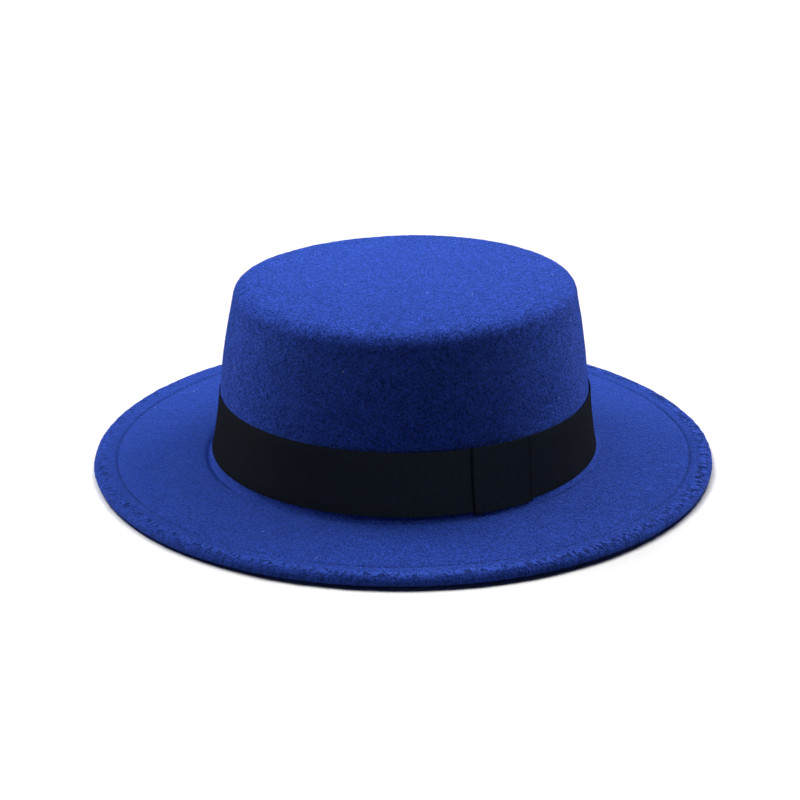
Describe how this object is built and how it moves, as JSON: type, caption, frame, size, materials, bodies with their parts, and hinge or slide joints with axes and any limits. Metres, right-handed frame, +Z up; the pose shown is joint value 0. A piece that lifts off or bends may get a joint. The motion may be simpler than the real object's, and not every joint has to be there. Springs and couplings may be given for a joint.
{
  "type": "flat brim felt hat",
  "caption": "Stiff blue felt hat with a flat oval crown, a flat brim hemmed underneath, a black ribbon band and a flat keeper tab on the band.",
  "frame": {"origin": "middle of the hat's oval, on the plane that the hat rests on", "axes": "+Z up through the crown, +X from the wearer's forehead to the back of the head, so -Y is the wearer's left"},
  "size_m": [0.319, 0.2822, 0.0973],
  "materials": {
    "blue_felt": "royal blue pressed wool felt with a fine brushed nap",
    "black_ribbon": "matt black ribbed ribbon"
  },
  "bodies": {
    "root": {"felt_body": "blue_felt", "hat_band": "black_ribbon", "band_tab": "black_ribbon"}
  },
  "joints": []
}
